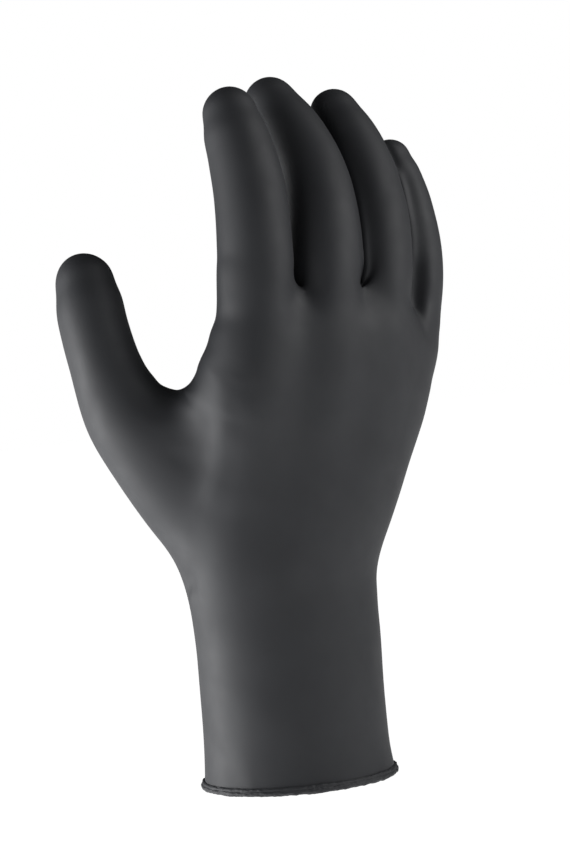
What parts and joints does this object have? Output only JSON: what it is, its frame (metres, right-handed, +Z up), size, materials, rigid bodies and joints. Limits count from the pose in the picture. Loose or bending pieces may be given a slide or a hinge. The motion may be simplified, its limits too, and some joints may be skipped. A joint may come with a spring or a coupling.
{
  "type": "nitrile exam glove",
  "caption": "Charcoal nitrile exam glove in the form it has on a relaxed right hand, with a long plain cuff ending in a rolled bead.",
  "frame": {"origin": "centre of the cuff's mouth, in the plane of the bead's lower edge", "axes": "+Z up the cuff towards the fingers, +X from the thumb's side to the little finger's side, +Y out of the palm; the back of the hand faces -Y"},
  "size_m": [0.1412, 0.0699, 0.2411],
  "materials": {
    "nitrile": "satin matte charcoal film"
  },
  "bodies": {
    "root": {"glove": "nitrile"}
  },
  "joints": []
}
